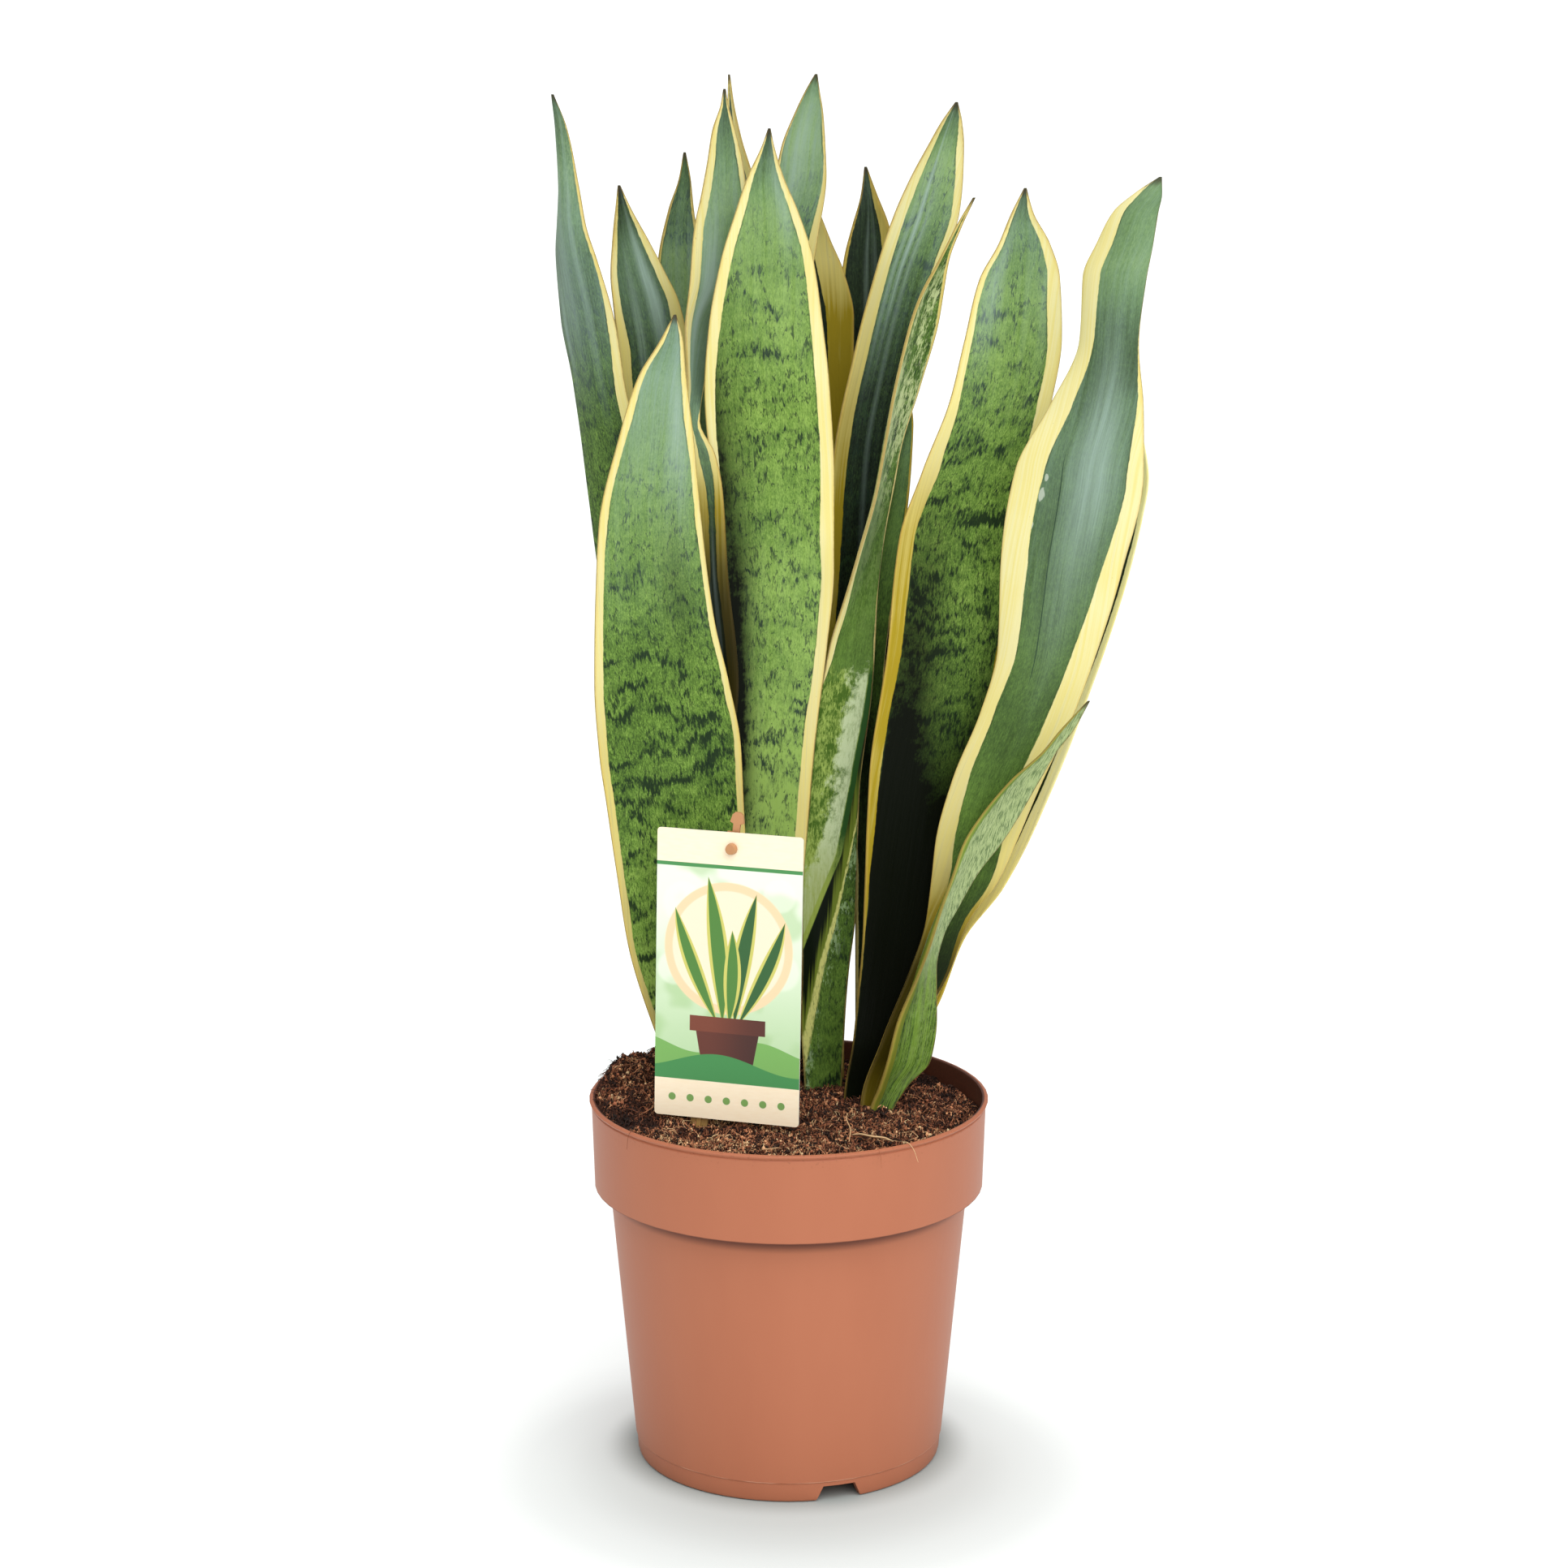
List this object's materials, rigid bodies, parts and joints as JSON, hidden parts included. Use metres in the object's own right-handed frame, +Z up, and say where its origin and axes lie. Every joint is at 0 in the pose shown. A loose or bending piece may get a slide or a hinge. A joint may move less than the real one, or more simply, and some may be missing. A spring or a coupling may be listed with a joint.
{
  "type": "potted snake plant",
  "caption": "Upright clump of tall, pointed, yellow-edged strap leaves standing in soil in a tapered plastic nursery pot, with a care card on a stick in front.",
  "frame": {"origin": "on the pot's axis, on the ground, at the flat pad in the middle of the pot's base", "axes": "+Z up the pot's axis, -Y towards the viewer of the picture, where the label stands, +X to the viewer's right"},
  "size_m": [0.2501, 0.1887, 0.585],
  "materials": {
    "pot": "satin",
    "soil": "matte",
    "leaf": "satin",
    "label_card": "satin",
    "label_stick": "satin"
  },
  "bodies": {
    "root": {"pot": "pot", "soil": "soil", "leaf_front_left": "leaf", "leaf_front_centre": "leaf", "leaf_centre_left": "leaf", "leaf_far_left": "leaf", "leaf_left": "leaf", "leaf_left_back": "leaf", "leaf_centre_left_back": "leaf", "leaf_tallest": "leaf", "leaf_centre_back": "leaf", "leaf_back_right": "leaf", "leaf_centre_right": "leaf", "leaf_twisted": "leaf", "leaf_right_back": "leaf", "leaf_right": "leaf", "leaf_far_right": "leaf", "leaf_far_right_back": "leaf", "leaf_small_front": "leaf", "label_card": "label_card", "label_stick": "label_stick"}
  },
  "joints": []
}
